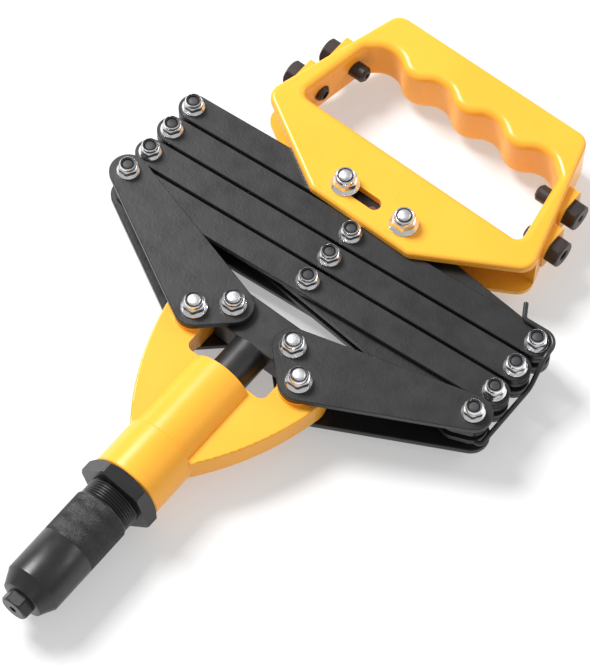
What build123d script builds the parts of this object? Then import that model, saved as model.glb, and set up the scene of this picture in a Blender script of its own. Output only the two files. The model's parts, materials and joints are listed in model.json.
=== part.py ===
"""Lazy-tong hand riveter, folded shut and lying on its back.

Units are millimetres.  The origin is the centre of the nosepiece's front face,
+Y runs along the tool axis towards the grip, +X points to the right-hand link
tips and +Z points up, out of the front of the tool.  Z = 0 is the mid-plane that
the front and rear plates mirror each other about.
"""

import os
from collections import namedtuple
from math import acos, atan2, cos, degrees, hypot, radians, sin, sqrt, tan

from build123d import *

os.makedirs("parts", exist_ok=True)

# ---------------------------------------------------------------- driving sizes

# stations along the tool axis
nose_head_length = 5.5  # nosepiece head that stands out of the sleeve
cone_length = 6.5
smooth_length = 22.5
knurl_length = 22.0
thread_shown = 7.5  # sleeve thread between the knurl and the lock nut
lock_nut_width = 7.0
collar_length = 24.0
tube_length = 39.5
wing_reach = 16.0  # tube end to the wing pivots

# link work
wing_half = 28.4  # wing pivots, each side of the axis
crank_half = 16.2  # crosshead pivots, each side of the axis
crank_rise = 11.5  # crosshead pivots, ahead of the wing pivots
tip_half = 94.0  # link tips, each side of the axis
tip_rise = 34.5  # first link tips, ahead of the wing pivots
tip_pitch = 14.9  # from one link tip to the next
crossings = 4  # scissor pairs
handle_half = 16.0  # handle pivots, each side of the axis
link_width = 13.5
relief_turn = 45.0  # degrees the last pair opens before the handle bolts leave its edges
crank_tip_radius = 8.4
crank_root_radius = 9.0

# layers, each side of the mid-plane
inner_floor = 2.0
plate = 2.9
crank_plate = 3.0
layer_gap = 0.15
handle_half_thickness = 12.2
handle_gap = 0.3  # handle plate to the link under it

# fits
pivot_clearance = 0.1  # radial, bolt in a turning plate
thread_slack = 0.02  # radial, nut on its bolt
drift_clearance = 0.25  # radial, open pivot beyond its bolt's path
seat_clearance = 0.05  # radial, parts that screw or press together
slide_clearance = 0.08  # radial, pull rod in its bush
running_gap = 0.35  # moving parts that pass each other
latch_gap = 0.9  # latch wire to the link ends, so it can press inwards a little

# how far the links travel, for the slots that take up the travel
crank_travel = 32.0  # degrees
plate_break = 0.3  # edges of the plates
grip_round = 3.7  # rims of the finger opening
rim_round = 2.0

# nose and body
sleeve_radius = 13.0
sleeve_front_radius = 9.8
thread_radius = 12.25
thread_depth = 0.6
thread_pitch = 1.25
thread_engaged = 14.0
lock_nut_flats = 32.4
lock_nut_turn = 10.7  # degrees, its flats from the plane of the plates
lock_nut_break = 0.6  # chamfer on the nose side
lock_nut_bevel = 1.6  # length of the bevel on the collar side
collar_radius = 16.6
tube_radius = 15.5
sleeve_front_wall = 10.0
bush_length = 20.0
rod_radius = 9.0
rod_thread_radius = 6.0
rod_thread_length = 12.0
mandrel_bore_radius = 1.7
bush_wall = 1.5
case_radius = 9.3
case_clearance = 0.4  # radial, jaw case in the sleeve
tube_clearance = 0.9  # radial, jaw case and rod in the body
case_length = 32.0
jaw_length = 13.0
rod_nut_width = 5.0
rod_nut_flats = 16.0
tenon_radius = 6.0
tenon_length = 15.0
cross_pin_radius = 2.0
cross_pin_skin = 1.2  # crosshead metal left in front of the pin
cross_pin_recess = 0.3

wing_thickness = 12.4
wing_notch_half = 21.0
wing_notch_depth = 15.0  # below the wing pivots
wing_outer_half = 41.0
boss_radius = 9.2

# crosshead
crosshead_low = 2.5  # ahead of the wing pivots
crosshead_high = 22.0
crosshead_half_thickness = 7.0

# handle, ahead of the handle pivots
handle_low = -10.6
handle_top = 86.2
foot_half = 26.5  # flat bottom edge, each side of the axis
shoulder_half = 72.8  # widest place, before its corners are rounded
shoulder_rise = 16.6
crown_half = 52.4
opening_low = 25.2
opening_low_half = 59.8
opening_high_half = 53.6
scallop_mean = 66.0
scallop_swing = 2.6
scallop_pitch = 28.0
fingers = 4
throat = 22.0
slot_travel = 16.0
spare_rows = ((56.6, 64.5, 17.0), (37.1, 69.7, 14.0))  # rise, seat from the axis, shank
spare_boss = 7.6  # half of its side
spare_boss_depth = 8.0

# hardware: shank radius, flange radius, across flats, nut height, head height
Size = namedtuple("Size", "shank flange flats nut head")
tip_size = Size(2.5, 5.2, 8.0, 5.9, 3.0)
crank_size = Size(3.0, 5.9, 9.0, 6.4, 3.4)
handle_size = Size(3.0, 6.6, 10.0, 7.4, 5.2)
spacer_radius = 4.2
slim_tube_radius = 3.8  # on the handle bolts, where the other link passes close by
washer_radius = 5.5

# spare nosepieces
nose_flats = 12.0
nose_head = 6.0
nose_shank_radius = 3.9
nose_shank_length = 17.0
spare_bore_radii = (1.3, 1.7, 2.05, 2.5)
spare_mouth = 0.5

# latch
wire_radius = 1.1

# ---------------------------------------------------------------- worked out

sleeve_y = nose_head_length
cone_y = sleeve_y + cone_length
knurl_y = cone_y + smooth_length
thread_y = knurl_y + knurl_length
lock_nut_y = thread_y + thread_shown
collar_y = lock_nut_y + lock_nut_width
tube_y = collar_y + collar_length
tube_end_y = tube_y + tube_length
wing_y = tube_end_y + wing_reach

sleeve_bore_radius = max(case_radius, rod_radius) + case_clearance
tube_bore_radius = max(case_radius, rod_radius) + tube_clearance

crank_y = wing_y + crank_rise
first_tip_y = wing_y + tip_rise
last_crossing_y = first_tip_y + (crossings - 0.5) * tip_pitch
link_slope = tip_pitch / 2 / tip_half
handle_y = last_crossing_y + handle_half * link_slope
link_half_length = hypot(tip_half, tip_pitch / 2)

outer_floor = inner_floor + plate + layer_gap
outer_face = outer_floor + plate
crank_floor = outer_face + layer_gap
crank_face = crank_floor + crank_plate
handle_floor = outer_face + handle_gap

crank_radius = hypot(wing_half - crank_half, crank_rise)
crank_angle = atan2(crank_rise, wing_half - crank_half)
arm_radius = hypot(tip_half - wing_half, tip_rise)
arm_angle = atan2(tip_rise, tip_half - wing_half)
rest_slope = atan2(tip_pitch / 2, tip_half)
open_tip = wing_half + arm_radius * cos(arm_angle + radians(crank_travel))
open_slope = acos(open_tip / link_half_length)
pull_stroke = crank_rise - crank_radius * sin(crank_angle - radians(crank_travel))
pin_drift = crank_radius * cos(crank_angle - radians(crank_travel)) - (
    wing_half - crank_half
)


def left_tip(row):
    return (-tip_half, first_tip_y + (row - 1) * tip_pitch)


def right_tip(row):
    return (tip_half, first_tip_y + (row - 1) * tip_pitch)


def crossing(row):
    return (0.0, first_tip_y + (row - 0.5) * tip_pitch)


left_grip, right_grip = (-handle_half, handle_y), (handle_half, handle_y)
left_wing, right_wing = (-wing_half, wing_y), (wing_half, wing_y)
left_cross, right_cross = (-crank_half, crank_y), (crank_half, crank_y)


def save(builder, label):
    builder.part.label = label
    export_step(builder.part, f"parts/{label}.step")


# ---------------------------------------------------------------- hardware


def make_nut(size):
    """A flanged lock nut standing on the XY plane."""
    flange = size.nut * 0.1
    collar = size.nut * 0.16
    with BuildPart() as nut:
        with BuildSketch():
            Circle(size.flange)
        extrude(amount=flange)
        with BuildSketch(Plane.XY.offset(flange)):
            Circle(size.flange)
        extrude(amount=flange * 1.6, taper=40)
        with BuildSketch():
            RegularPolygon(size.flats / 2, 6, major_radius=False)
        extrude(amount=size.nut - collar)
        with BuildSketch(Plane.XY.offset(size.nut - collar)):
            Circle(size.flats / 2 - 0.2)
        extrude(amount=collar, taper=20)
        with BuildSketch():
            Circle(size.shank + thread_slack)
        extrude(amount=size.nut, mode=Mode.SUBTRACT)
    return nut.part


def make_bolt(size, grip, stand):
    """A hex bolt through a stack: its head hangs below the XY plane."""
    with BuildPart() as bolt:
        with BuildSketch():
            Circle(size.shank)
        extrude(amount=grip + stand)
        chamfer(bolt.faces().sort_by(Axis.Z)[-1].edges(), size.shank * 0.2)
        with BuildSketch():
            RegularPolygon(size.flats / 2, 6, major_radius=False)
        extrude(amount=-size.head, taper=5)
    return bolt.part


nut_of = {size: make_nut(size) for size in (tip_size, crank_size, handle_size)}


def nut_group(label, places):
    """Lock nuts that share a node; places are (x, y, z of the face, size)."""
    with BuildPart() as group:
        for x, y, z, size in places:
            with Locations((x, y, z)):
                add(nut_of[size])
    save(group, label)


def bolt_group(label, places):
    """Bolts that share a node; places are (x, y, face each side, stand past it, size)."""
    with BuildPart() as group:
        for x, y, face, stand, size in places:
            with Locations((x, y, -face)):
                add(make_bolt(size, 2 * face, stand))
    save(group, label)


def spacer_group(label, tubes):
    """Plain tubes on bolts; tubes are (x, y, low z, high z, outer radius, bolt radius)."""
    with BuildPart() as group:
        for x, y, low, high, outer, shank in tubes:
            with BuildSketch(Plane((x, y, low))):
                Circle(outer)
                Circle(shank + seat_clearance, mode=Mode.SUBTRACT)
            extrude(amount=high - low)
    save(group, label)


def centre_tube(pivot, shank=tip_size.shank):
    """The spacer between a joint's two inner plates."""
    reach = inner_floor - layer_gap
    return (*pivot, -reach, reach, spacer_radius, shank)


def wide_tube(pivot, shank, outer=spacer_radius):
    """The spacer between two outer plates where no inner plate meets the bolt."""
    reach = outer_floor - layer_gap
    return (*pivot, -reach, reach, outer, shank)


def washer_pair(pivot, low, high, shank, outer=washer_radius):
    """Washers on a bolt, front and back."""
    front = (*pivot, low, high, outer, shank)
    back = (*pivot, -high, -low, outer, shank)
    return [front, back]


# ---------------------------------------------------------------- link plates


def link_pair(name, start, end, floor, holes, relief=None):
    """Front and rear round-ended bars between two pivots.

    Holes are (x, y, radius); relief is an arc that another bolt follows through the edge.
    """
    length = hypot(end[0] - start[0], end[1] - start[1])
    turn = degrees(atan2(end[1] - start[1], end[0] - start[0]))
    middle = ((start[0] + end[0]) / 2, (start[1] + end[1]) / 2)
    for side, low in (("front", floor), ("rear", -floor - plate)):
        with BuildPart() as bar:
            with BuildSketch(Plane.XY.offset(low)):
                with Locations(middle):
                    SlotCenterToCenter(length, link_width, rotation=turn)
            extrude(amount=plate)
            chamfer(bar.faces().filter_by(Axis.Z).edges(), plate_break)
            with BuildSketch(Plane.XY.offset(low)):
                for x, y, radius in holes:
                    with Locations((x, y)):
                        Circle(radius)
                if relief:
                    SlotArc(relief, 2 * (slim_tube_radius + running_gap))
            extrude(amount=plate, mode=Mode.SUBTRACT)
        save(bar, f"{name}_{side}")


tip_hole = tip_size.shank + pivot_clearance
handle_hole = handle_size.shank + pivot_clearance
tip_stand = tip_size.nut - 0.7  # tip bolts end just inside their nuts
crank_stand = crank_size.nut + 0.5
handle_stand = handle_size.nut + 0.6

for row in range(1, crossings):
    name = f"outer_link_{row}"
    pivots = (left_tip(row), crossing(row), right_tip(row + 1))
    own = pivots[1:] if row == 1 else pivots  # the first tip's bolt belongs to the crank
    link_pair(name, pivots[0], pivots[2], outer_floor, [(*p, tip_hole) for p in pivots])
    bolt_group(f"{name}_bolts", [(*p, outer_face, tip_stand, tip_size) for p in own])
    nut_group(f"{name}_nuts", [(*p, outer_face, tip_size) for p in own])
    spacer_group(f"{name}_spacers", [centre_tube(p) for p in own])

for row in range(2, crossings):
    pivots = (right_tip(row), crossing(row), left_tip(row + 1))
    holes = [(*p, tip_hole) for p in pivots]
    link_pair(f"inner_link_{row}", pivots[0], pivots[2], inner_floor, holes)

# The last pair runs on past its crossing and carries the handle.
last_left, last_cross = left_tip(crossings), crossing(crossings)
last_right = right_tip(crossings)
outer_last, inner_last = f"outer_link_{crossings}", f"inner_link_{crossings}"
near_holes = [(*last_left, tip_hole), (*last_cross, tip_hole)]
far_holes = [(*last_right, tip_hole), (*last_cross, tip_hole)]
right_hole, left_hole = (*right_grip, handle_hole), (*left_grip, handle_hole)

# Folded, each of these links lies across the other's handle bolt, so its edge has a
# relief along the bolt's path about the crossing.
bolt_reach = hypot(handle_half, handle_y - last_crossing_y)
slant = degrees(rest_slope)
left_path = CenterArc(last_cross, bolt_reach, 180 - slant, -relief_turn)
right_path = CenterArc(last_cross, bolt_reach, slant, relief_turn)
outer_holes, inner_holes = [*near_holes, right_hole], [*far_holes, left_hole]
link_pair(outer_last, last_left, right_grip, outer_floor, outer_holes, left_path)
link_pair(inner_last, last_right, left_grip, inner_floor, inner_holes, right_path)

with BuildPart() as last_bolts:
    with Locations((*last_left, -outer_face)):
        add(make_bolt(tip_size, 2 * outer_face, tip_stand))
    with Locations((*right_grip, -handle_half_thickness)):
        add(make_bolt(handle_size, 2 * handle_half_thickness, handle_stand))
    # a flush rivet, because the handle's plates pass over this crossing
    with BuildSketch(Plane((*last_cross, -outer_face))):
        Circle(tip_size.shank)
    extrude(amount=2 * outer_face)
save(last_bolts, f"{outer_last}_bolts")
last_nuts = [(*last_left, outer_face, tip_size)]
last_nuts += [(*right_grip, handle_half_thickness, handle_size)]
nut_group(f"{outer_last}_nuts", last_nuts)
last_tubes = [centre_tube(last_left), centre_tube(last_cross)]
grip_tube = wide_tube(right_grip, handle_size.shank, slim_tube_radius)
spacer_group(f"{outer_last}_spacers", [*last_tubes, grip_tube])

slot_bolt = (*left_grip, handle_half_thickness, handle_stand, handle_size)
bolt_group(f"{inner_last}_bolts", [slot_bolt])
nut_group(f"{inner_last}_nuts", [(*left_grip, handle_half_thickness, handle_size)])
slot_washers = washer_pair(
    left_grip, outer_floor, outer_face, handle_size.shank, slim_tube_radius
)
slot_tube = centre_tube(left_grip, handle_size.shank)
spacer_group(f"{inner_last}_spacers", [slot_tube, *slot_washers])

# The first inner link's right end is the linkage's open pivot.  Its hole is as large
# as the drift between the right crank's bolt and the place where the link puts it.
drift_steps = 16
drift_path = []
for step in range(drift_steps + 1):
    share = step / drift_steps
    turned = radians(crank_travel) * share
    tip_x = wing_half + arm_radius * cos(arm_angle + turned)
    slope = rest_slope + share * (open_slope - rest_slope)
    drift = 2 * (link_half_length * cos(slope) - tip_x)
    drift_path.append((drift * cos(slope), drift * sin(slope)))
drift_along = max(along for along, across in drift_path)
drift_across = max(across for along, across in drift_path)
lobe_length = 4 * drift_along

first_right = right_tip(1)
for side, low in (("front", inner_floor), ("rear", -inner_floor - plate)):
    end_plane = Plane(origin=(*first_right, low), x_dir=Vector(-1, link_slope, 0), z_dir=(0, 0, 1))
    with BuildPart() as first_inner:
        with BuildSketch(end_plane):
            # a lobe keeps the wall as wide on the side that the bolt drifts towards
            with Locations((0, 0), (drift_along, drift_across), (lobe_length, 0)):
                Circle(link_width / 2)
            make_hull()
            with Locations((link_half_length, 0)):
                SlotCenterToCenter(2 * link_half_length, link_width)
        extrude(amount=plate)
        with BuildSketch(end_plane):
            for along, across in drift_path:
                with Locations((along, across)):
                    Circle(tip_hole + drift_clearance)
            with Locations((link_half_length, 0), (2 * link_half_length, 0)):
                Circle(tip_hole)
        extrude(amount=plate, mode=Mode.SUBTRACT)
    save(first_inner, f"inner_link_1_{side}")

# ---------------------------------------------------------------- bell cranks


def crank_set(name, tip, root, cross):
    """A crank's two plates with its bolts and nuts."""
    for side, low in (("front", crank_floor), ("rear", -crank_face)):
        with BuildPart() as crank:
            with BuildSketch(Plane.XY.offset(low)):
                with Locations(tip):
                    Circle(crank_tip_radius)
                with Locations(root, cross):
                    Circle(crank_root_radius)
                make_hull()
            extrude(amount=crank_plate)
            chamfer(crank.faces().filter_by(Axis.Z).edges(), plate_break)
            with BuildSketch(Plane.XY.offset(low)):
                with Locations(tip):
                    Circle(tip_hole)
                with Locations(root, cross):
                    Circle(crank_hole)
            extrude(amount=crank_plate, mode=Mode.SUBTRACT)
        save(crank, f"{name}_{side}")
    tip_bolt = (*tip, crank_face, tip_stand, tip_size)
    bolt_group(f"{name}_bolts", [tip_bolt, (*cross, crank_face, crank_stand, crank_size)])
    nut_group(f"{name}_nuts", [(*tip, crank_face, tip_size), (*cross, crank_face, crank_size)])


crank_hole = crank_size.shank + pivot_clearance
crank_set("left_crank", left_tip(1), left_wing, left_cross)
crank_set("right_crank", right_tip(1), right_wing, right_cross)

washer_low = crosshead_half_thickness + layer_gap
left_washers = washer_pair(left_cross, washer_low, outer_face, crank_size.shank)
spacer_group("left_crank_spacers", [wide_tube(left_tip(1), tip_size.shank), *left_washers])
right_washers = washer_pair(right_cross, washer_low, outer_face, crank_size.shank)
tip_washers = washer_pair(right_tip(1), outer_floor, outer_face, tip_size.shank)
spacer_group(
    "right_crank_spacers", [centre_tube(right_tip(1)), *tip_washers, *right_washers]
)

# ---------------------------------------------------------------- body casting

wing_half_thickness = wing_thickness / 2


def disc_plane(y):
    """A plane across the tool axis, facing the nose."""
    return Plane(origin=(0, y, 0), x_dir=(1, 0, 0), z_dir=(0, -1, 0))


def turned(profile):
    """A solid turned about the tool axis from (y, radius) points."""
    with BuildPart() as piece:
        with BuildSketch(Plane.XY):
            with BuildLine():
                Polyline(*[(radius, y) for y, radius in profile], close=True)
            make_face()
        revolve(axis=Axis.Y)
    return piece.part


wing_low_y = tube_y - 3.0
notch_y = wing_y - wing_notch_depth
with BuildPart() as body_casting:
    add(
        turned(
            [
                (collar_y, 0),
                (collar_y, collar_radius - 0.6),
                (collar_y + 0.6, collar_radius),
                (tube_y - 0.8, collar_radius),
                (tube_y, tube_radius),
                (tube_end_y, tube_radius),
                (tube_end_y, 0),
            ]
        )
    )
    with BuildSketch(Plane.XY.offset(-wing_half_thickness)):
        for side in (-1, 1):
            outer = (side * wing_outer_half, wing_y - 2)
            with BuildLine():
                ThreePointArc(
                    (side * (collar_radius - 1.5), wing_low_y),
                    (side * wing_outer_half * 0.78, wing_y - 30.5),
                    outer,
                )
                ThreePointArc(
                    outer,
                    (side * (wing_half + 9.5), wing_y + 8.2),
                    (side * wing_half, wing_y + wing_outer_half - wing_half - 0.6),
                )
                Line(
                    (side * wing_half, wing_y + wing_outer_half - wing_half - 0.6),
                    (side * wing_notch_half, wing_y + 4),
                )
                Polyline(
                    (side * wing_notch_half, wing_y + 4),
                    (side * wing_notch_half, notch_y),
                    (0, notch_y),
                    (0, wing_low_y),
                    (side * (collar_radius - 1.5), wing_low_y),
                )
            make_face()
    extrude(amount=wing_thickness)
    # the floor of each notch is rounded into the wing
    corners = body_casting.edges().filter_by(Axis.Z)
    inner = [e for e in corners if abs(abs(e.center().X) - wing_notch_half) < 0.1]
    fillet([e for e in inner if abs(e.center().Y - notch_y) < 0.1], 3.5)
    outline = [
        e
        for e in body_casting.edges()
        if abs(abs(e.center().Z) - wing_half_thickness) < 0.01
        and e.geom_type == GeomType.CIRCLE
        and abs(e.center().X) > wing_notch_half
    ]
    fillet(outline, 0.8)
    for side in (-1, 1):
        with BuildSketch(Plane((side * wing_half, wing_y, -outer_face))):
            Circle(boss_radius)
            keep = wing_notch_half - wing_half
            with Locations((side * (keep + boss_radius), 0)):
                Rectangle(2 * boss_radius, 2 * boss_radius, mode=Mode.INTERSECT)
        extrude(amount=2 * outer_face)
        with Locations((side * wing_half, wing_y, 0)):
            Hole(crank_size.shank + seat_clearance)
    # bores for the sleeve's thread, the jaw case and the bush
    bush_seat = rod_radius + slide_clearance + bush_wall + seat_clearance
    with BuildSketch(disc_plane(collar_y + thread_engaged)):
        Circle(thread_radius + seat_clearance)
    extrude(amount=thread_engaged, mode=Mode.SUBTRACT)
    with BuildSketch(disc_plane(tube_end_y)):
        Circle(tube_bore_radius)
    extrude(amount=tube_end_y - collar_y, mode=Mode.SUBTRACT)
    with BuildSketch(disc_plane(notch_y)):
        Circle(bush_seat)
    extrude(amount=notch_y - tube_end_y + bush_length, mode=Mode.SUBTRACT)
save(body_casting, "body_casting")

with BuildPart() as rod_bush:
    with BuildSketch(disc_plane(tube_end_y)):
        Circle(bush_seat - seat_clearance)
        Circle(rod_radius + slide_clearance, mode=Mode.SUBTRACT)
    extrude(amount=bush_length)
save(rod_bush, "rod_bush")

wing_places = (left_wing, right_wing)
bolt_group("wing_bolts", [(*p, crank_face, crank_stand, crank_size) for p in wing_places])
nut_group("wing_nuts", [(*p, crank_face, crank_size) for p in wing_places])

# ---------------------------------------------------------------- nose

# laid on a bench, the tool rests on this nut's lowest corner and on the handle's bolt heads
rest_depth = handle_half_thickness + handle_size.head
lock_nut_radius = rest_depth / cos(radians(30 - lock_nut_turn))
with BuildPart() as lock_nut:
    with BuildSketch(disc_plane(collar_y)):
        RegularPolygon(lock_nut_flats / 2, 6, major_radius=False, rotation=-lock_nut_turn)
    extrude(amount=lock_nut_width)
    with BuildSketch(Plane.XY):
        with BuildLine():
            Polyline(
                (0, lock_nut_y),
                (lock_nut_radius - lock_nut_break, lock_nut_y),
                (lock_nut_radius, lock_nut_y + lock_nut_break),
                (lock_nut_radius, collar_y - lock_nut_bevel),
                (lock_nut_flats / 2, collar_y),
                (0, collar_y),
                close=True,
            )
        make_face()
    revolve(axis=Axis.Y, mode=Mode.INTERSECT)
    with BuildSketch(disc_plane(collar_y)):
        Circle(thread_radius + seat_clearance)
    extrude(amount=lock_nut_width, mode=Mode.SUBTRACT)
save(lock_nut, "lock_nut")

sleeve_end_y = collar_y + thread_engaged - 1
thread_root = thread_radius - thread_depth
thread_profile = []
ridge_y = thread_y
while ridge_y + thread_pitch < sleeve_end_y:
    thread_profile.append((ridge_y, thread_root))
    thread_profile.append((ridge_y + thread_pitch * 0.45, thread_radius))
    thread_profile.append((ridge_y + thread_pitch * 0.6, thread_radius))
    ridge_y += thread_pitch
sleeve_wall_y = sleeve_y + sleeve_front_wall
nose_hole = nose_shank_radius + seat_clearance
with BuildPart() as nose_sleeve:
    add(
        turned(
            [
                (sleeve_y, nose_hole),
                (sleeve_y, sleeve_front_radius - 0.5),
                (sleeve_y + 0.5, sleeve_front_radius),
                (cone_y, sleeve_radius - 0.3),
                (cone_y + 0.3, sleeve_radius),
                (thread_y - 0.8, sleeve_radius),
                (thread_y, sleeve_radius - 0.8),
                *thread_profile,
                (ridge_y, thread_root),
                (sleeve_end_y, thread_root),
                (sleeve_end_y, sleeve_bore_radius),
                (sleeve_wall_y, sleeve_bore_radius),
                (sleeve_wall_y, nose_hole),
            ]
        )
    )
save(nose_sleeve, "nose_sleeve")


def make_nosepiece(bore_radius, head_length, shank_length, mouth=0.0):
    """A nosepiece with its head's outer face on the XY plane, pointing along -Z."""
    with BuildPart() as piece:
        with BuildSketch():
            RegularPolygon(nose_flats / 2, 6, major_radius=False)
        extrude(amount=head_length)
        rim = nose_flats / sqrt(3)
        with BuildSketch(Plane.XZ):
            with BuildLine():
                Polyline(
                    (0, 0),
                    (rim - 1.3, 0),
                    (rim - 0.25, 1.0),
                    (rim - 0.25, head_length),
                    (0, head_length),
                    close=True,
                )
            make_face()
        revolve(axis=Axis.Z, mode=Mode.INTERSECT)
        with BuildSketch(Plane.XY.offset(head_length)):
            Circle(nose_shank_radius)
        extrude(amount=shank_length)
        chamfer(piece.faces().sort_by(Axis.Z)[-1].edges(), 1.2)
        with BuildSketch():
            Circle(bore_radius)
        extrude(amount=head_length + shank_length, mode=Mode.SUBTRACT)
        if mouth:
            chamfer(piece.faces().sort_by(Axis.Z)[0].inner_wires().edges(), mouth)
    return piece.part


fitted_plane = Plane(origin=(0, 0, 0), x_dir=(1, 0, 0), z_dir=(0, 1, 0))
with BuildPart() as nosepiece:
    with Locations(fitted_plane):
        add(make_nosepiece(mandrel_bore_radius, nose_head_length, nose_shank_length))
save(nosepiece, "nosepiece")

# ---------------------------------------------------------------- pull rod group

case_y = nose_head_length + nose_shank_length + running_gap + pull_stroke
case_end_y = case_y + case_length
rod_front_y = case_end_y - rod_thread_length
case_bore = rod_thread_radius + seat_clearance
jaw_front_radius = 4.2
jaw_back_radius = jaw_front_radius + jaw_length * 0.27
jaw_y = case_y + 1.5
jaw_end_y = jaw_y + jaw_length
cone_slack = 0.12
with BuildPart() as jaw_case:
    add(
        turned(
            [
                (case_y, jaw_front_radius + cone_slack),
                (case_y, case_radius - 1.2),
                (case_y + 1.2, case_radius),
                (case_end_y, case_radius),
                (case_end_y, case_bore),
                (rod_front_y - 1, case_bore),
                (rod_front_y - 1, jaw_back_radius + cone_slack),
                (jaw_end_y, jaw_back_radius + cone_slack),
                (jaw_y, jaw_front_radius + cone_slack),
            ]
        )
    )
save(jaw_case, "jaw_case")

with BuildPart() as jaws:
    add(
        turned(
            [
                (jaw_y, 0),
                (jaw_y, jaw_front_radius),
                (jaw_end_y, jaw_back_radius),
                (jaw_end_y, 0),
            ]
        )
    )
    with BuildSketch(disc_plane(jaw_end_y)):
        Circle(mandrel_bore_radius - 0.3)
        with PolarLocations(0, 3):
            with Locations((jaw_back_radius / 2 + 0.5, 0)):
                Rectangle(jaw_back_radius + 2, 0.5)
    extrude(amount=jaw_length, mode=Mode.SUBTRACT)
save(jaws, "jaws")

spring_radius = 3.6
spring_wire = 0.5
pusher_head = 2.5
pusher_length = 9.0
pusher_y = jaw_end_y + 0.1
spring_y = pusher_y + pusher_head
spring_end_y = rod_front_y + 6.0
with BuildPart() as jaw_pusher:
    with BuildSketch(disc_plane(pusher_y + pusher_head)):
        Circle(jaw_back_radius - 0.6)
    extrude(amount=pusher_head)
    with BuildSketch(disc_plane(pusher_y + pusher_length)):
        Circle(spring_radius - spring_wire - 0.25)
    extrude(amount=pusher_length)
    with BuildSketch(disc_plane(pusher_y + pusher_length)):
        Circle(mandrel_bore_radius)
    extrude(amount=pusher_length, mode=Mode.SUBTRACT)
save(jaw_pusher, "jaw_pusher")

coils = 5.0
spring_length = spring_end_y - spring_y - 2 * spring_wire - 0.2
with BuildPart() as jaw_spring:
    with BuildLine() as coil:
        Helix(
            pitch=spring_length / coils,
            height=spring_length,
            radius=spring_radius,
            center=(0, spring_y + spring_wire + 0.1, 0),
            direction=(0, 1, 0),
        )
    with BuildSketch(Plane(origin=coil.line @ 0, z_dir=coil.line % 0)):
        Circle(spring_wire)
    sweep(is_frenet=True)
save(jaw_spring, "jaw_spring")

rod_shoulder_y = case_end_y + rod_nut_width + 0.5
crosshead_y = wing_y + crosshead_low
rod_end_y = crosshead_y + tenon_length
pin_y = crosshead_y + tenon_length / 2
rod_bore = spring_radius + spring_wire + 0.25
with BuildPart() as pull_rod:
    add(
        turned(
            [
                (rod_front_y, 0),
                (rod_front_y, rod_thread_radius - 0.6),
                (rod_front_y + 0.6, rod_thread_radius),
                (rod_shoulder_y, rod_thread_radius),
                (rod_shoulder_y, rod_radius - 0.8),
                (rod_shoulder_y + 0.8, rod_radius),
                (crosshead_y, rod_radius),
                (crosshead_y, tenon_radius),
                (rod_end_y, tenon_radius),
                (rod_end_y, 0),
            ]
        )
    )
    with BuildSketch(disc_plane(rod_front_y + 6.0)):
        Circle(rod_bore)
    extrude(amount=6.0, mode=Mode.SUBTRACT)
    with BuildSketch(disc_plane(rod_front_y + 24.0)):
        Circle(mandrel_bore_radius + 0.6)
    extrude(amount=24.0, mode=Mode.SUBTRACT)
    with BuildSketch(Plane.XY.offset(-rod_radius)):
        with Locations((0, pin_y)):
            Circle(cross_pin_radius + seat_clearance)
    extrude(amount=2 * rod_radius, mode=Mode.SUBTRACT)
save(pull_rod, "pull_rod")

with BuildPart() as rod_lock_nut:
    with BuildSketch(disc_plane(case_end_y + 0.1 + rod_nut_width)):
        RegularPolygon(rod_nut_flats / 2, 6, major_radius=False)
        Circle(rod_thread_radius + seat_clearance, mode=Mode.SUBTRACT)
    extrude(amount=rod_nut_width)
save(rod_lock_nut, "rod_lock_nut")

crosshead_half = wing_notch_half - running_gap
crosshead_height = crosshead_high - crosshead_low
crosshead_middle = wing_y + (crosshead_low + crosshead_high) / 2
with BuildPart() as crosshead:
    with BuildSketch(Plane.XY.offset(-crosshead_half_thickness)):
        with Locations((0, crosshead_middle)):
            Rectangle(2 * crosshead_half, crosshead_height)
    extrude(amount=2 * crosshead_half_thickness)
    chamfer(crosshead.edges().filter_by(Axis.Z), 1.5)
    chamfer(crosshead.faces().filter_by(Axis.Z).edges(), 0.4)
    # each crank's bolt drifts inwards as the crank turns
    slot_half = crank_size.shank + 0.45
    with BuildSketch(Plane.XY.offset(-crosshead_half_thickness)):
        for side in (-1, 1):
            centre_x = side * (crank_half - pin_drift / 2)
            with Locations((centre_x, crank_y)):
                SlotCenterToCenter(pin_drift + 0.2, 2 * slot_half)
    extrude(amount=2 * crosshead_half_thickness, mode=Mode.SUBTRACT)
    with BuildSketch(disc_plane(rod_end_y + seat_clearance)):
        Circle(tenon_radius + seat_clearance)
    extrude(amount=tenon_length + seat_clearance, mode=Mode.SUBTRACT)
    # the pin's hole is blind, drilled from behind
    pin_depth = 2 * crosshead_half_thickness - cross_pin_skin
    with BuildSketch(Plane.XY.offset(-crosshead_half_thickness)):
        with Locations((0, pin_y)):
            Circle(cross_pin_radius + seat_clearance)
    extrude(amount=pin_depth, mode=Mode.SUBTRACT)
save(crosshead, "crosshead")

with BuildPart() as crosshead_pin:
    with BuildSketch(Plane.XY.offset(cross_pin_recess - crosshead_half_thickness)):
        with Locations((0, pin_y)):
            Circle(cross_pin_radius)
    extrude(amount=pin_depth - 2 * cross_pin_recess)
    chamfer(crosshead_pin.faces().filter_by(Axis.Z).edges(), 0.4)
save(crosshead_pin, "crosshead_pin")

# ---------------------------------------------------------------- handle


def from_pivots(points):
    """Points given from the handle's pivot line, placed on the tool."""
    return [(x, handle_y + rise) for x, rise in points]


def arc_through(a, b, c):
    ThreePointArc(*from_pivots((a, b, c)))


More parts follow.
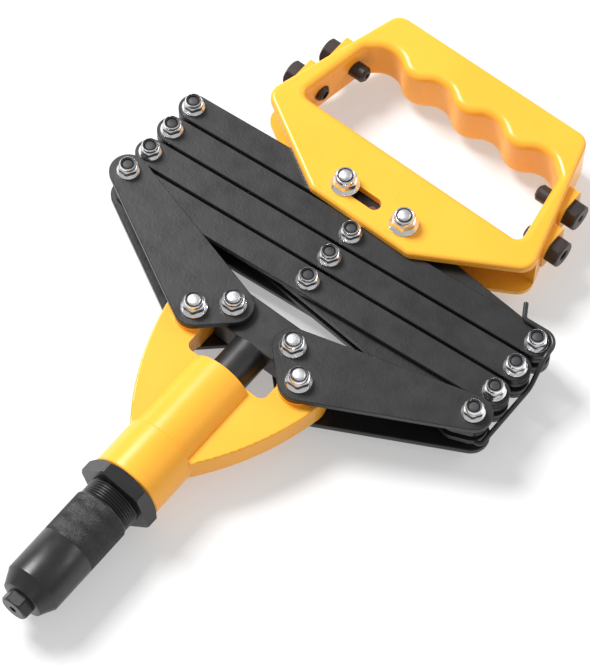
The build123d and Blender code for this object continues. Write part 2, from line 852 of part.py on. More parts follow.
half_wave = scallop_pitch / 4
handle_thickness = 2 * handle_half_thickness
grip_end = fingers / 2 * scallop_pitch - half_wave
end_drop = (opening_high_half - grip_end) * tan(2 * atan2(scallop_swing, half_wave))
end_rise = scallop_mean - end_drop
with BuildPart() as handle_casting:
    with BuildSketch(Plane.XY.offset(-handle_half_thickness)) as outline:
        right = [
            (foot_half, handle_low),
            (shoulder_half, shoulder_rise),
            (crown_half, handle_top),
        ]
        left = [(-x, rise) for x, rise in reversed(right)]
        with BuildLine():
            Polyline(*from_pivots(right + left), close=True)
        make_face()
        shoulders = outline.vertices().sort_by(Axis.X)
        fillet([shoulders[0], shoulders[-1]], 7.5)
        crowns = outline.vertices().group_by(Axis.Y)[-1]
        fillet(crowns, 7.0)
        feet = outline.vertices().group_by(Axis.Y)[0]
        fillet(feet, 5.0)
    extrude(amount=handle_thickness)
    with BuildSketch(Plane.XY.offset(-handle_half_thickness)) as opening:
        with BuildLine():
            Polyline(
                *from_pivots(
                    [
                        (-grip_end, scallop_mean),
                        (-opening_high_half, end_rise),
                        (-opening_low_half, opening_low),
                        (opening_low_half, opening_low),
                        (opening_high_half, end_rise),
                        (grip_end, scallop_mean),
                    ]
                )
            )
            bend = 1
            for wave in range(2 * fingers - 1):
                start = grip_end - 2 * wave * half_wave
                arc_through(
                    (start, scallop_mean),
                    (start - half_wave, scallop_mean + bend * scallop_swing),
                    (start - 2 * half_wave, scallop_mean),
                )
                bend = -bend
        make_face()
        low_corners = opening.vertices().group_by(Axis.Y)[0]
        fillet(low_corners, 3.5)
        high_corners = [
            v for v in opening.vertices() if abs(abs(v.X) - opening_high_half) < 0.01
        ]
        fillet(high_corners, 5.0)
    extrude(amount=handle_thickness, mode=Mode.SUBTRACT)
    # rims: the grip is well rounded, the rest only broken
    rims = [
        e
        for e in handle_casting.edges()
        if abs(abs(e.center().Z) - handle_half_thickness) < 0.01
    ]
    inner_rims = [
        e
        for e in rims
        if opening_low - 1 < e.center().Y - handle_y < scallop_mean + 2 * scallop_swing
        and abs(e.center().X) < opening_low_half + 1
    ]
    outer_rims = [e for e in rims if e not in inner_rims]
    fillet(inner_rims, grip_round)
    fillet(outer_rims, rim_round)
    # bosses that hold the spare nosepieces
    for rise, seat, shank in spare_rows:
        for side in (-1, 1):
            boss_plane = Plane(
                origin=(side * seat, handle_y + rise, 0), x_dir=(0, 1, 0), z_dir=(-side, 0, 0)
            )
            with BuildSketch(boss_plane):
                RectangleRounded(2 * spare_boss, 2 * spare_boss, 2.0)
            extrude(amount=spare_boss_depth)
    for rise, seat, shank in spare_rows:
        for side in (-1, 1):
            boss_plane = Plane(
                origin=(side * seat, handle_y + rise, 0), x_dir=(0, 1, 0), z_dir=(-side, 0, 0)
            )
            with BuildSketch(boss_plane):
                Circle(nose_shank_radius + seat_clearance)
            extrude(amount=shank + 2, mode=Mode.SUBTRACT)
    # the fork that the last links swing in
    with BuildSketch(Plane.XY.offset(-handle_floor)):
        fork_height = throat - handle_low + 10
        with Locations((0, handle_y + throat - fork_height / 2)):
            Rectangle(3 * shoulder_half, fork_height)
    extrude(amount=2 * handle_floor, mode=Mode.SUBTRACT)
    # the fixed pivot and the slot that the other bolt slides along
    with BuildSketch(Plane.XY.offset(-handle_half_thickness)):
        with Locations(right_grip):
            Circle(handle_hole)
        with Locations((left_grip[0] + slot_travel / 2, handle_y)):
            SlotCenterToCenter(slot_travel, 2 * (handle_size.shank + 0.15))
    extrude(amount=handle_thickness, mode=Mode.SUBTRACT)
save(handle_casting, "handle_casting")

with BuildPart() as spare_nosepieces:
    bores = iter(spare_bore_radii)
    for rise, seat, shank in spare_rows:
        for side in (-1, 1):
            head_face = side * (seat + nose_head)
            outward = Plane(
                origin=(head_face, handle_y + rise, 0), x_dir=(0, 1, 0), z_dir=(-side, 0, 0)
            )
            with Locations(outward):
                add(make_nosepiece(next(bores), nose_head, shank, spare_mouth))
save(spare_nosepieces, "spare_nosepieces")

# ---------------------------------------------------------------- latch

hook_x, hook_y = last_right
hook_radius = tip_size.flange + wire_radius + running_gap
hook_z = outer_face + wire_radius + layer_gap
run_x = hook_x + link_width / 2 + wire_radius + latch_gap
foot_y = first_right[1] - spacer_radius - wire_radius - running_gap
wire_points = [
    (hook_x + spacer_radius + wire_radius + running_gap, foot_y, 0),
    (run_x, foot_y, 0),
    (run_x, hook_y - 15.5, 0),
    (hook_x + hook_radius + 0.6, hook_y - 4.0, hook_z),
    (hook_x + hook_radius, hook_y + hook_radius, hook_z),
    (hook_x - 10.5, hook_y + hook_radius - 1.3, hook_z),
    (hook_x - 14.2, hook_y + 11.5, hook_z + 2.0),
]
wire_bends = [1.9, 8.0, 6.0, hook_radius - 0.6, 2.2]
with BuildPart() as latch_wire:
    with BuildLine() as route:
        FilletPolyline(*wire_points, radius=wire_bends)
    with BuildSketch(Plane(origin=route.line @ 0, z_dir=route.line % 0)):
        Circle(wire_radius)
    sweep()
    fillet(latch_wire.edges().filter_by(GeomType.CIRCLE).sort_by(Axis.Y)[-1], 0.8)
save(latch_wire, "latch_wire")
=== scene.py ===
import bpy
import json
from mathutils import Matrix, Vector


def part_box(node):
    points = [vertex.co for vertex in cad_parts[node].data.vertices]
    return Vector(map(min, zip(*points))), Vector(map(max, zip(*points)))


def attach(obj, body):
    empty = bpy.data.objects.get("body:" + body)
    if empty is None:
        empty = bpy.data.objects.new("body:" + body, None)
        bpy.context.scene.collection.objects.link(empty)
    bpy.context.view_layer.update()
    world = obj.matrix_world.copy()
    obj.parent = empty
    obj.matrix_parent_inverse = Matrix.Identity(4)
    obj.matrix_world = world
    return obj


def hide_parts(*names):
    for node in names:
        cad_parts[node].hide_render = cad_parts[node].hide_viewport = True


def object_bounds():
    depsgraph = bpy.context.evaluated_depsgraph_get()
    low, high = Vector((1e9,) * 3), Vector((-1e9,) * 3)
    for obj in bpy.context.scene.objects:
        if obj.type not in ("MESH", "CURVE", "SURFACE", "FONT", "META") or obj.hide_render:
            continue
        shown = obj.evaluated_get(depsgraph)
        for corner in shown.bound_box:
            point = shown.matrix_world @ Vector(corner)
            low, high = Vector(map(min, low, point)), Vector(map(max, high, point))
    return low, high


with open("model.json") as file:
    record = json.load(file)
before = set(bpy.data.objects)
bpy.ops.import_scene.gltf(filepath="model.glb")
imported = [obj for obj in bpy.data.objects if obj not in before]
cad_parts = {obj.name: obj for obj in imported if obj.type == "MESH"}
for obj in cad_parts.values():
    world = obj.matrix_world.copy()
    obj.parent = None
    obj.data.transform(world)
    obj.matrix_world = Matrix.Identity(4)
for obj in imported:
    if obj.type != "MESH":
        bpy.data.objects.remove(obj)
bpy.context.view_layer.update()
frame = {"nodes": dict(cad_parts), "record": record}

import json
import math

import bpy
import numpy as np
from mathutils import Vector

MM = 0.001
nodes = frame["nodes"]
record = frame["record"]
body_of = {node: body for body, members in record["behaviour"]["bodies"].items() for node in members}
slot_of = {row["node"]: row["material_slot"] for row in record["subparts"]}


# ------------------------------------------------------------------ material tools

NOISE_RANGE = (0.3, 0.7)  # most of a noise texture's values lie in it
TONE_STOPS = (0.32, 0.68)  # the noise at which the dark tone ends and the light one starts
GLOSS_FINENESS = 3.1  # how much finer the changes of gloss are than those of tone
GLOSS_RANGE = (0.88, 1.14)  # the smoothest and roughest places, as shares of the roughness
PEEL_DEPTH = 0.2 * MM  # of an orange peel at a strength of 1
GROOVE_DEPTH = 8.0  # of a pin's groove, in heights of the orange peel
GROOVE_WIDTH = 0.35 * MM  # from the middle of a pin's groove to its edge


class Shader:
    """A Principled material and small helpers to add nodes to it."""

    def __init__(self, name, color, roughness, metallic):
        self.material = bpy.data.materials.new(name)
        self.material.use_nodes = True
        self.tree = self.material.node_tree
        self.bsdf = self.tree.nodes["Principled BSDF"]
        self.bsdf.inputs["Base Color"].default_value = (*color, 1)
        self.bsdf.inputs["Roughness"].default_value = roughness
        self.bsdf.inputs["Metallic"].default_value = metallic
        self.coordinates = self.tree.nodes.new("ShaderNodeTexCoord").outputs["Object"]

    def link(self, source, target):
        self.tree.links.new(source, target)

    def noise(self, scale, detail):
        node = self.tree.nodes.new("ShaderNodeTexNoise")
        node.inputs["Scale"].default_value = scale
        node.inputs["Detail"].default_value = detail
        self.link(self.coordinates, node.inputs["Vector"])
        return node.outputs["Fac"]

    def tones(self, value, dark, light):
        """The dark colour where the noise is low and the light one where it is high."""
        node = self.tree.nodes.new("ShaderNodeValToRGB")
        for element, place, color in zip(node.color_ramp.elements, TONE_STOPS, (dark, light)):
            element.position = place
            element.color = (*color, 1)
        self.link(value, node.inputs["Fac"])
        return node.outputs["Color"]

    def spread(self, value, low, high):
        """The noise carried from its usual range to low..high."""
        node = self.tree.nodes.new("ShaderNodeMapRange")
        node.inputs["From Min"].default_value, node.inputs["From Max"].default_value = NOISE_RANGE
        node.inputs["To Min"].default_value = low
        node.inputs["To Max"].default_value = high
        self.link(value, node.inputs["Value"])
        return node.outputs["Result"]

    def math(self, operation, *values):
        """A math node on numbers and other nodes' outputs."""
        node = self.tree.nodes.new("ShaderNodeMath")
        node.operation = operation
        for socket, value in zip(node.inputs, values):
            if isinstance(value, (int, float)):
                socket.default_value = value
            else:
                self.link(value, socket)
        return node.outputs["Value"]

    def ring(self, x, y, radius):
        """1 along a circle about an axis parallel to Z, and 0 away from it."""
        separate = self.tree.nodes.new("ShaderNodeSeparateXYZ")
        self.link(self.coordinates, separate.inputs["Vector"])
        dx = self.math("SUBTRACT", separate.outputs["X"], x)
        dy = self.math("SUBTRACT", separate.outputs["Y"], y)
        squares = self.math("ADD", self.math("MULTIPLY", dx, dx), self.math("MULTIPLY", dy, dy))
        away = self.math("ABSOLUTE", self.math("SUBTRACT", self.math("SQRT", squares), radius))
        share = self.math("DIVIDE", away, GROOVE_WIDTH)
        return self.math("MAXIMUM", self.math("SUBTRACT", 1.0, share), 0.0)

    def bump(self, height, strength):
        node = self.tree.nodes.new("ShaderNodeBump")
        node.inputs["Strength"].default_value = strength
        node.inputs["Distance"].default_value = PEEL_DEPTH
        self.link(height, node.inputs["Height"])
        self.link(node.outputs["Normal"], self.bsdf.inputs["Normal"])


def two_tone(
    name, dark, light, roughness, scale, metallic=0.0,
    peel=0.0, peel_scale=0, wave=0.0, wave_scale=0, marks=(),
):
    """Paint or plating with a slow change of tone, uneven gloss and a fine orange peel.

    Scales are per metre. The wave is a slower swell of the surface, in heights of the peel, and the marks are
    the round grooves that ejector pins leave on a casting.
    """
    shader = Shader(name, light, roughness, metallic)
    tone = shader.noise(scale, detail=3)
    shader.link(shader.tones(tone, dark, light), shader.bsdf.inputs["Base Color"])
    gloss = shader.noise(scale * GLOSS_FINENESS, detail=4)
    smoothest, roughest = (roughness * share for share in GLOSS_RANGE)
    shader.link(shader.spread(gloss, smoothest, roughest), shader.bsdf.inputs["Roughness"])
    if peel:
        height = shader.noise(peel_scale, detail=2)
        if wave:
            swell = shader.math("MULTIPLY", shader.noise(wave_scale, detail=1), wave)
            height = shader.math("ADD", height, swell)
        for mark in marks:
            groove = shader.math("MULTIPLY", shader.ring(*mark), GROOVE_DEPTH)
            height = shader.math("SUBTRACT", height, groove)
        shader.bump(height, peel)
    return shader


# ------------------------------------------------------------------ materials

PIN_SIDE = 64 * MM  # from the handle's middle to an ejector pin's mark
PIN_RISE = 37.6 * MM  # from the handle's front end to the marks
PIN_RADIUS = 2.6 * MM
ENAMEL_SPECULAR = 0.38

handle_low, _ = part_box("handle_casting")
pin_marks = [(side * PIN_SIDE, handle_low.y + PIN_RISE, PIN_RADIUS) for side in (-1, 1)]

yellow = two_tone(
    "yellow_enamel", (0.93, 0.405, 0.034), (0.95, 0.440, 0.042), roughness=0.26, scale=22,
    peel=0.08, peel_scale=420, wave=4.0, wave_scale=55, marks=pin_marks,
)
yellow.bsdf.inputs["Specular IOR Level"].default_value = ENAMEL_SPECULAR

black = two_tone(
    "black_enamel", (0.0075, 0.0075, 0.0078), (0.0130, 0.0130, 0.0136), roughness=0.38, scale=35,
    peel=0.22, peel_scale=760, wave=1.2, wave_scale=170,
)
black_steel = two_tone(
    "black_steel", (0.012, 0.012, 0.0125), (0.019, 0.019, 0.020), roughness=0.34, scale=60,
    peel=0.05, peel_scale=1500,
)
oxide = two_tone(
    "black_oxide", (0.008, 0.008, 0.0084), (0.013, 0.013, 0.0136), roughness=0.33, scale=70,
    peel=0.05, peel_scale=1800,
)
knurled = two_tone(
    "knurled_oxide", (0.009, 0.009, 0.0094), (0.014, 0.014, 0.0146), roughness=0.42, scale=650,
    peel=1.0, peel_scale=1250,
)
dark_steel = two_tone(
    "dark_steel", (0.016, 0.010, 0.009), (0.032, 0.023, 0.021), roughness=0.38, scale=120,
    peel=0.08, peel_scale=2200,
)
zinc = two_tone(
    "zinc_plate", (0.78, 0.78, 0.80), (0.92, 0.92, 0.93), roughness=0.20, scale=160, metallic=1.0,
    peel=0.08, peel_scale=1600,
)
bright_bolt = two_tone(
    "bright_bolt", (0.55, 0.55, 0.57), (0.70, 0.70, 0.72), roughness=0.38, scale=260, metallic=1.0,
    peel=0.25, peel_scale=1300,
)
dark_bolt = two_tone(
    "dark_bolt", (0.028, 0.028, 0.030), (0.060, 0.060, 0.064), roughness=0.55, scale=260, metallic=0.4,
    peel=0.25, peel_scale=1300,
)
rivet_steel = two_tone(
    "rivet_steel", (0.10, 0.028, 0.018), (0.20, 0.07, 0.045), roughness=0.45, scale=400, metallic=0.4,
    peel=0.1, peel_scale=1800,
)
nylon = two_tone("nylon_ring", (0.008, 0.008, 0.010), (0.014, 0.014, 0.018), roughness=0.5, scale=300)
spacer_steel = two_tone(
    "spacer_steel", (0.03, 0.03, 0.031), (0.05, 0.05, 0.052), roughness=0.4, scale=160, metallic=0.3
)
bronze = two_tone(
    "bush_bronze", (0.42, 0.26, 0.10), (0.52, 0.34, 0.15), roughness=0.4, scale=180, metallic=1.0
)
hard_steel = two_tone(
    "ground_steel", (0.35, 0.35, 0.36), (0.45, 0.45, 0.47), roughness=0.3, scale=180, metallic=1.0
)
spring_steel = two_tone(
    "spring_steel", (0.38, 0.38, 0.40), (0.48, 0.48, 0.50), roughness=0.3, scale=220, metallic=1.0
)
wire = two_tone("black_wire", (0.012, 0.012, 0.0125), (0.020, 0.020, 0.021), roughness=0.35, scale=150)

shader_of_slot = {
    "yellow_enamel": yellow,
    "black_enamel": black,
    "black_steel": black_steel,
    "black_oxide": oxide,
    "dark_steel": dark_steel,
    "zinc_nut": zinc,
    "bright_bolt": bright_bolt,
    "dark_bolt": dark_bolt,
    "dark_spacer": spacer_steel,
    "bronze": bronze,
    "hardened_steel": hard_steel,
    "spring_steel": spring_steel,
    "black_wire": wire,
}


# ------------------------------------------------------------------ CAD nodes

EDGE_ROUNDS = {"lock_nut": 0.25 * MM, "nosepiece": 0.15 * MM, "spare_nosepieces": 0.2 * MM}
EDGE_ANGLE = math.radians(25)  # edges sharper than this are rounded

for node in nodes:
    materials = nodes[node].data.materials
    materials.clear()
    materials.append(shader_of_slot[slot_of[node]].material)

for node, width in EDGE_ROUNDS.items():
    bevel = nodes[node].modifiers.new("soft_edges", "BEVEL")
    bevel.width = width
    bevel.segments = 2
    bevel.limit_method = "ANGLE"
    bevel.angle_limit = EDGE_ANGLE
    bevel.harden_normals = True


# ------------------------------------------------------------------ piece tools

SMOOTH_ANGLE = math.radians(32)  # edges sharper than this stay crisp
SAME_PLACE = 6  # decimals of a metre to which two vertices count as one
SEGMENTS = 96  # around a nut or a bolt
HEXAGON_CORNER = 0.95  # a corner's radius, as a share of a sharp hexagon's


class Skin:
    """The vertices and faces of a new piece, with each face's material index."""

    def __init__(self):
        self.vertices, self.faces, self.indices = [], [], []

    def add_ring(self, points):
        """Adds a ring of vertices and gives the first one's index."""
        first = len(self.vertices)
        self.vertices += points
        return first

    def join(self, lower, upper, count, index):
        """The band of faces between two rings of so many vertices, given by their first ones."""
        for k in range(count):
            n = (k + 1) % count
            self.faces.append((lower + k, lower + n, upper + n, upper + k))
            self.indices.append(index)

    def cap(self, ring, index):
        """One face over a ring, given as its vertices in order."""
        self.faces.append(tuple(ring))
        self.indices.append(index)

    def turn(self, axis, rows):
        """Turns rows of (radius, z, material index) about a line along Z, and gives the rings.

        A radius or a z may be a function of the angle.
        """
        angles = [2 * math.pi * k / SEGMENTS for k in range(SEGMENTS)]
        rings = []
        for radius, z, index in rows:
            points = [turned(axis, at_angle(radius, a), at_angle(z, a), a) for a in angles]
            rings.append(self.add_ring(points))
            if len(rings) > 1:
                self.join(rings[-2], rings[-1], SEGMENTS, index)
        return rings

    def piece(self, name, shaders, body, replaced, slot):
        """The finished piece, which rides on a body and stands for the replaced CAD nodes."""
        mesh = bpy.data.meshes.new(name)
        mesh.from_pydata(self.vertices, [], self.faces)
        for shader in shaders:
            mesh.materials.append(shader.material)
        mesh.polygons.foreach_set("material_index", self.indices)
        mesh.update()
        piece = bpy.data.objects.new(name, mesh)
        bpy.context.scene.collection.objects.link(piece)
        mesh.polygons.foreach_set("use_smooth", [True] * len(mesh.polygons))
        mesh.set_sharp_from_angle(angle=SMOOTH_ANGLE)
        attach(piece, body)
        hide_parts(*replaced)


def at_angle(value, angle):
    """The value itself, or what it gives for the angle where it is a function."""
    return value(angle) if callable(value) else value


def turned(axis, radius, z, angle):
    """A point at a radius and an angle about a line along Z."""
    return axis[0] + radius * math.cos(angle), axis[1] + radius * math.sin(angle), z


def solids(node):
    """The separate solids of a CAD node, each as an array of its vertices."""
    mesh = nodes[node].data
    parent = list(range(len(mesh.vertices)))

    def root(i):
        while parent[i] != i:
            parent[i] = parent[parent[i]]
            i = parent[i]
        return i

    first_at = {}
    for vertex in mesh.vertices:
        place = tuple(round(c, SAME_PLACE) for c in vertex.co)
        parent[root(vertex.index)] = root(first_at.setdefault(place, vertex.index))
    for edge in mesh.edges:
        parent[root(edge.vertices[0])] = root(edge.vertices[1])
    groups = {}
    for vertex in mesh.vertices:
        groups.setdefault(root(vertex.index), []).append(tuple(vertex.co))
    return [np.array(group) for group in groups.values()]


def middle(low, high):
    """The axis along Z of a nut or a bolt between these corners."""
    return (low[0] + high[0]) / 2, (low[1] + high[1]) / 2


def from_axis(solid, axis):
    """How far each vertex is from a line along Z."""
    return np.hypot(solid[:, 0] - axis[0], solid[:, 1] - axis[1])


def hexagon(apothem):
    """A hexagon's radius by angle, with a corner on the X axis as the CAD has, and its corners cut back."""
    corner = apothem / math.cos(math.pi / 6) * HEXAGON_CORNER

    def radius(angle):
        from_flat = angle % (math.pi / 3) - math.pi / 6
        return min(apothem / math.cos(from_flat), corner)

    return radius


# ------------------------------------------------------------------ lock nuts

SMALL_FLANGE = 6.4 * MM  # flanges under this radius are M5 nuts, and the others M6
SMALL_HEXAGON, LARGE_HEXAGON = 0.77, 0.758  # the hexagon's apothem, in radii of the flange
COLLAR = 0.94  # the nylon's collar, in apothems
HEXAGON_HEIGHT = 0.70  # as a share of the nut's height
NUT_CHAMFER = 0.58  # the slope of the chamfer on the hexagon's corners
STEEL, NYLON = 0, 1


def nut_rows(low_z, high_z, flange, bore):
    """A flanged lock nut's outline, from its bore's lower edge around the outside to its upper edge."""
    height = high_z - low_z
    apothem = flange * (SMALL_HEXAGON if flange < SMALL_FLANGE else LARGE_HEXAGON)
    flat = hexagon(apothem)
    collar = apothem * COLLAR
    top = low_z + height * HEXAGON_HEIGHT

    # the flange's seat and rim, then its cone up to the hexagon
    flange_rows = [
        (bore, low_z, STEEL),
        (flange * 0.97, low_z, STEEL),
        (flange, low_z + 0.15 * MM, STEEL),
        (flange, low_z + 0.5 * MM, STEEL),
        (flange * 0.975, low_z + 0.75 * MM, STEEL),
        (lambda a: flat(a) + 0.25 * MM, low_z + height * 0.24, STEEL),
    ]
    # the flats, and the chamfer that takes their corners down to the collar
    hexagon_rows = [
        (flat, low_z + height * 0.29, STEEL),
        (flat, lambda a: top - max(flat(a) - collar, 0) * NUT_CHAMFER, STEEL),
        (lambda a: min(flat(a), collar), top, STEEL),
    ]
    # the collar, rounded over the nylon
    collar_rows = [
        (collar, top + height * 0.12, STEEL),
        (collar * 0.975, top + height * 0.19, STEEL),
        (collar * 0.93, top + height * 0.26, STEEL),
        (collar * 0.87, high_z - 0.01 * MM, STEEL),
        (bore + 0.62 * MM, high_z - height * 0.035, STEEL),
    ]
    # the nylon ring, sunk a little under the collar's lip
    nylon_rows = [
        (bore + 0.55 * MM, high_z - height * 0.075, NYLON),
        (bore + 0.2 * MM, high_z - height * 0.09, NYLON),
        (bore, high_z - height * 0.12, NYLON),
    ]
    return flange_rows + hexagon_rows + collar_rows + nylon_rows


def make_nuts(node):
    """Flanged lock nuts with a conical flange, a chamfered hexagon and a nylon ring."""
    skin = Skin()
    for solid in solids(node):
        low, high = solid.min(0), solid.max(0)
        axis = middle(low, high)
        flange = (high[0] - low[0]) / 2
        bore = from_axis(solid, axis).min()
        rings = skin.turn(axis, nut_rows(low[2], high[2], flange, bore))
        skin.join(rings[-1], rings[0], SEGMENTS, NYLON)
    skin.piece(node.replace("_nuts", "_lock_nuts"), [zinc, nylon], body_of[node], [node], "zinc_nut")


# ------------------------------------------------------------------ bolts

LARGE_SHANK = 2.8 * MM  # shanks over this radius are M6 bolts, which have bright ends
HEAD_STEP = 0.5 * MM  # a solid this much wider than its shank has a head
SHANK_EDGE = 0.3 * MM  # vertices this far outside the shank are on the head
HEAD_GAP = 0.02 * MM  # the hexagon stays this much inside the CAD one
HEAD_FACE = 0.95  # the round face at the head's end, in apothems
WASHER_FACE = 0.97  # the washer face under the head, in apothems
HEAD_CHAMFER = 0.5  # the slope of the chamfer on the head's corners
HEAD, BRIGHT_END, RIVET, DARK_END = range(4)


def bolt_rows(low_z, face_z, high_z, apothem, shank):
    """A bolt with its head down: a chamfered hexagon, a washer face, a shank and a chamfered end."""
    flat = hexagon(apothem - HEAD_GAP)
    rim = apothem * HEAD_FACE
    end = BRIGHT_END if shank > LARGE_SHANK else DARK_END
    # the hollow in the head's end, its chamfered corners, its flats and the washer face
    head_rows = [
        (rim * 0.55, low_z + 0.12 * MM, HEAD),
        (rim * 0.6, low_z, HEAD),
        (lambda a: min(flat(a), rim), low_z, HEAD),
        (flat, lambda a: low_z + max(flat(a) - rim, 0) * HEAD_CHAMFER, HEAD),
        (flat, face_z - 0.35 * MM, HEAD),
        (apothem * WASHER_FACE, face_z - 0.3 * MM, HEAD),
        (apothem * WASHER_FACE, face_z, HEAD),
    ]
    # the shank and its chamfered end
    shank_rows = [
        (shank, face_z, HEAD),
        (shank, high_z - shank * 0.28, HEAD),
        (shank * 0.96, high_z - shank * 0.2, end),
        (shank * 0.84, high_z - shank * 0.06, end),
        (shank * 0.7, high_z - shank * 0.015, end),
        (shank * 0.1, high_z, end),
    ]
    return head_rows + shank_rows


def rivet_rows(low_z, high_z, shank):
    """A flush rivet with slightly rounded ends."""
    return [
        (shank * 0.5, low_z, RIVET),
        (shank * 0.97, low_z + 0.05 * MM, RIVET),
        (shank, low_z + 0.3 * MM, RIVET),
        (shank, high_z - 0.3 * MM, RIVET),
        (shank * 0.97, high_z - 0.05 * MM, RIVET),
        (shank * 0.5, high_z, RIVET),
    ]


def make_bolts(node):
    """Hex bolts, and flush rivets where a solid has no head."""
    skin = Skin()
    for solid in solids(node):
        low, high = solid.min(0), solid.max(0)
        axis = middle(low, high)
        radial = from_axis(solid, axis)
        shank = radial[solid[:, 2] > (low[2] + high[2]) / 2].max()
        if radial.max() > shank + HEAD_STEP:
            face_z = solid[radial > shank + SHANK_EDGE][:, 2].max()
            rows = bolt_rows(low[2], face_z, high[2], (high[1] - low[1]) / 2, shank)
        else:
            rows = rivet_rows(low[2], high[2], shank)
        rings = skin.turn(axis, rows)
        skin.cap(reversed(range(rings[0], rings[0] + SEGMENTS)), rows[0][2])
        skin.cap(range(rings[-1], rings[-1] + SEGMENTS), rows[-1][2])
    shaders = [zinc, bright_bolt, rivet_steel, dark_bolt]
    skin.piece(node.replace("_bolts", "_hex_bolts"), shaders, body_of[node], [node], slot_of[node])


for node in sorted(nodes):
    if node.endswith("_nuts"):
        make_nuts(node)
    if node.endswith("_bolts"):
        make_bolts(node)


# ------------------------------------------------------------------ nose sleeve

KNURL_LENGTH = 21.5 * MM
KNURL_DEPTH = 0.15 * MM
KNURL_SLOPE = 1.35  # of the cuts' sides: over 1, the diamonds' tops stay flat
KNURL_MARGIN = 0.5 * MM  # left without cuts at the knurl's rear end
ON_FACE = 0.02 * MM  # how near a vertex is to a face or a bore that it lies on
ON_RIM = 0.05 * MM  # the same for the sleeve's largest radius
NOSE_EDGE = 0.55 * MM  # the CAD nose's rounded edge is within this of its front
THREAD_START = 0.5 * MM  # the thread is beyond this, behind the knurl
THREAD_RISE = 0.4 * MM  # and stands further than this from the bore
THREAD_PLACE = 5  # decimals of a metre to which two points of the thread count as one
PLAIN, CUT = 0, 1

teeth = 120  # of the knurl, around the sleeve
around = teeth * 6  # vertices in a ring of the sleeve
row_step = 0.115 * MM  # between the knurl's rings


class Sleeve:
    """The CAD sleeve's sizes, read from its vertices. It is turned about Y, with its nose at the low end."""

    def __init__(self):
        low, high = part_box("nose_sleeve")
        solid = np.array([tuple(v.co) for v in nodes["nose_sleeve"].data.vertices])
        along, radial = solid[:, 1], np.hypot(solid[:, 0], solid[:, 2])
        self.front, self.rear = low.y, high.y
        self.radius = radial.max()
        on_rim = along[radial > self.radius - ON_RIM]
        self.cone_end, self.knurl_end = on_rim.min(), on_rim.max()
        self.knurl_start = self.knurl_end - KNURL_LENGTH
        self.mouth = radial[np.abs(along - self.front) < ON_FACE].min()
        self.front_radius = radial[np.abs(along - self.front) < NOSE_EDGE].max()
        self.bore = radial[np.abs(along - self.rear) < ON_FACE].min()
        self.bore_front = along[np.abs(radial - self.bore) < ON_FACE].min()
        on_thread = (along > self.knurl_end + THREAD_START) & (radial > self.bore + THREAD_RISE)
        # each edge of the thread once, in order along the sleeve, the outer one first where two share a place
        edges = {
            (round(y, THREAD_PLACE), round(-r, THREAD_PLACE))
            for y, r in zip(along[on_thread], radial[on_thread])
        }
        self.thread = [(y, -r) for y, r in sorted(edges)]


def nose_profile(sleeve):
    """The nose's outline, as (y, radius), from its mouth to the groove before the knurl."""
    front, radius = sleeve.front, sleeve.radius
    groove = radius - 0.12 * MM
    return [
        (front, sleeve.mouth),
        (front, sleeve.front_radius - 0.5 * MM),
        (front + 0.15 * MM, sleeve.front_radius - 0.15 * MM),
        (front + 0.5 * MM, sleeve.front_radius),
        (sleeve.cone_end - 0.25 * MM, radius - 0.25 * MM),
        (sleeve.cone_end, radius - 0.02 * MM),
        (sleeve.cone_end + 0.4 * MM, radius),
        (sleeve.knurl_start - 0.5 * MM, radius),
        (sleeve.knurl_start - 0.3 * MM, groove),
        (sleeve.knurl_start - 0.1 * MM, groove),
    ]


def tail_profile(sleeve):
    """The outline from the knurl's rear end, over the thread and back through the bore to the mouth's."""
    return [
        (sleeve.knurl_end - 0.45 * MM, sleeve.radius - 0.1 * MM),
        *sleeve.thread,
        (sleeve.rear, sleeve.bore),
        (sleeve.bore_front, sleeve.bore),
        (sleeve.bore_front, sleeve.mouth),
    ]


def knurl_places(sleeve):
    """Where the knurl's rows of vertices are along the sleeve."""
    places = []
    y = sleeve.knurl_start
    while y < sleeve.knurl_end - KNURL_MARGIN:
        places.append(y)
        y += row_step
    return places


def knurled_radius(sleeve, y, k):
    """The radius of a vertex in the knurl: two sets of cuts that cross at 45 degrees."""
    tooth = 2 * math.pi * sleeve.radius / teeth
    across = k * teeth / around
    along = (y - sleeve.knurl_start) / tooth
    one_way = abs((across + along) % 1 - 0.5) * 2
    other_way = abs((across - along) % 1 - 0.5) * 2
    return sleeve.radius - KNURL_DEPTH * (1 - min(1.0, KNURL_SLOPE * min(one_way, other_way)))


def sleeve_ring(skin, y, radii):
    """A ring of vertices about the sleeve's axis."""
    angles = [2 * math.pi * k / around for k in range(around)]
    return skin.add_ring([(r * math.sin(a), y, r * math.cos(a)) for a, r in zip(angles, radii)])


def make_sleeve():
    """The nose sleeve turned about Y, with a fine diamond knurl cut into its rear half."""
    sleeve = Sleeve()
    skin = Skin()
    nose = [sleeve_ring(skin, y, [r] * around) for y, r in nose_profile(sleeve)]
    knurl = [
        sleeve_ring(skin, y, [knurled_radius(sleeve, y, k) for k in range(around)])
        for y in knurl_places(sleeve)
    ]
    tail = [sleeve_ring(skin, y, [r] * around) for y, r in tail_profile(sleeve)]
    rings = nose + knurl + tail
    for lower, upper in zip(rings, rings[1:]):
        in_knurl = lower >= knurl[0] and upper <= knurl[-1]
        skin.join(lower, upper, around, CUT if in_knurl else PLAIN)
    skin.join(rings[-1], rings[0], around, PLAIN)
    skin.piece("knurled_sleeve", [oxide, knurled], "body", ["nose_sleeve"], "black_oxide")


make_sleeve()


# ------------------------------------------------------------------ studio

FLOOR_HALF = 4.0  # half of its side, in metres
FLOOR_SPECULAR = 0.1
FLOOR_GLOW = 0.36
WORLD_LIGHT = 0.52
LAMP_AIM = Vector((0.0, 0.16, 0.0))  # near the middle of the tool
WHITE = (1.0, 1.0, 1.0, 1)


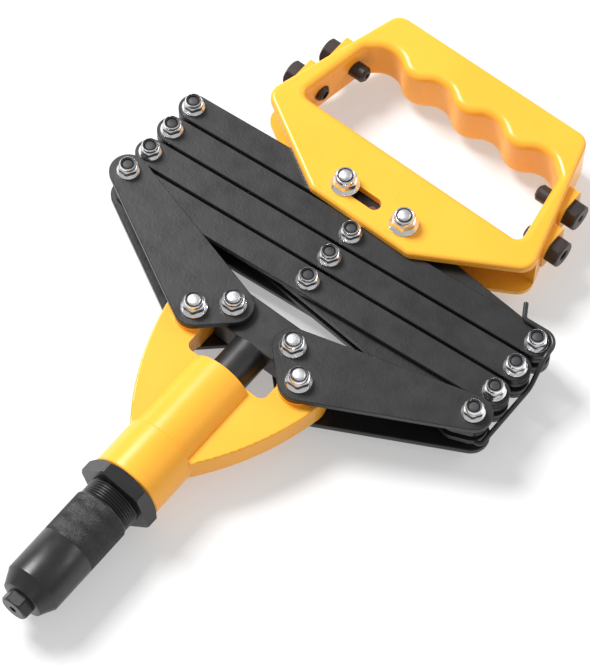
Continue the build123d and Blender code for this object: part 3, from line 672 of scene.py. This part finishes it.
def make_floor():
    """A pale floor that glows a little, which keeps its shadows light."""
    low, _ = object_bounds()
    signs = [(-1, -1), (1, -1), (1, 1), (-1, 1)]
    corners = [(x * FLOOR_HALF, y * FLOOR_HALF, low.z) for x, y in signs]
    mesh = bpy.data.meshes.new("floor")
    mesh.from_pydata(corners, [], [(0, 1, 2, 3)])
    floor = bpy.data.objects.new("floor", mesh)
    bpy.context.scene.collection.objects.link(floor)
    paper = two_tone("paper", (0.49, 0.49, 0.49), (0.52, 0.52, 0.52), roughness=0.85, scale=4)
    paper.bsdf.inputs["Specular IOR Level"].default_value = FLOOR_SPECULAR
    paper.bsdf.inputs["Emission Color"].default_value = WHITE
    paper.bsdf.inputs["Emission Strength"].default_value = FLOOR_GLOW
    mesh.materials.append(paper.material)


def make_world():
    """Even white light from all sides."""
    world = bpy.data.worlds.new("studio")
    world.use_nodes = True
    background = world.node_tree.nodes["Background"]
    background.inputs["Color"].default_value = WHITE
    background.inputs["Strength"].default_value = WORLD_LIGHT
    bpy.context.scene.world = world


def aim(obj, direction):
    """Turns a lamp or a camera to look in a direction."""
    obj.rotation_mode = "QUATERNION"
    obj.rotation_quaternion = direction.to_track_quat("-Z", "Y")


def softbox(name, place, size, power):
    """An area lamp that looks at the tool, with its size in metres and its power in watts."""
    data = bpy.data.lights.new(name, "AREA")
    data.shape = "RECTANGLE"
    data.size, data.size_y = size
    data.energy = power
    lamp = bpy.data.objects.new(name, data)
    lamp.location = place
    aim(lamp, LAMP_AIM - Vector(place))
    bpy.context.scene.collection.objects.link(lamp)


make_floor()
make_world()
softbox("key", place=(-1.12, 0.28, 1.38), size=(0.6, 0.6), power=40)
softbox("sparkle", place=(-1.05, -0.05, 1.2), size=(0.2, 0.2), power=3)
softbox("back_fill", place=(0.9, 1.4, 0.9), size=(1.2, 0.5), power=6)
softbox("front_fill", place=(1.0, -0.8, 1.2), size=(0.8, 0.8), power=1)
bpy.context.scene.view_settings.view_transform = "Standard"


# ------------------------------------------------------------------ camera

AZIMUTH, ELEVATION = math.radians(39.04), math.radians(61.55)
DISTANCE = 1.2808  # from the target, in metres
TARGET = Vector((0, 0.1505, 0.00795))
LENS, SENSOR = 163.3, 36  # in millimetres
SHIFT_X, SHIFT_Y = 0.0733, 0.020


def make_camera():
    """The camera, at the photograph's viewing angle."""
    level = math.cos(ELEVATION)
    back = Vector((math.sin(AZIMUTH) * level, -math.cos(AZIMUTH) * level, math.sin(ELEVATION)))
    data = bpy.data.cameras.new("camera")
    data.sensor_width = SENSOR
    data.lens = LENS
    data.shift_x, data.shift_y = SHIFT_X, SHIFT_Y
    camera = bpy.data.objects.new("camera", data)
    camera.location = TARGET + back * DISTANCE
    aim(camera, -back)
    bpy.context.scene.collection.objects.link(camera)
    bpy.context.scene.camera = camera


make_camera()
